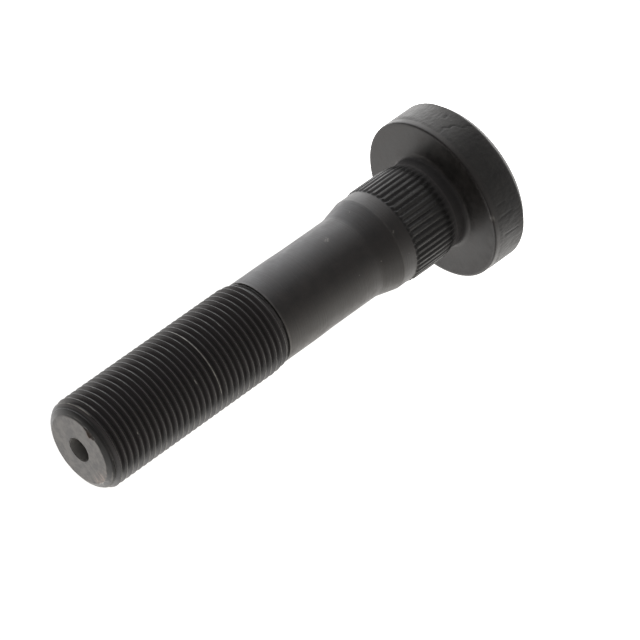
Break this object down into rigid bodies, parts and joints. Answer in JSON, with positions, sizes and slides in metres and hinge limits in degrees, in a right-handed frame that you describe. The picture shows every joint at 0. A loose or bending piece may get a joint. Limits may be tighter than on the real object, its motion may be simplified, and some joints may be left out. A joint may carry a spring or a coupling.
{
  "type": "wheel stud",
  "caption": "Long wheel stud with a thick round head, straight knurl, plain collar, soft-shouldered shank and a fine thread with a blind hole in its tip.",
  "frame": {"origin": "centre of the head's flat outer face, on which the stud stands", "axes": "+Z along the stud's axis, from the head to the tip of the thread"},
  "size_m": [0.0362, 0.0362, 0.1078],
  "materials": {
    "black_steel": "forged, turned and rolled steel with a satin black oxide finish"
  },
  "bodies": {
    "root": {"wheel_stud": "black_steel"}
  },
  "joints": []
}
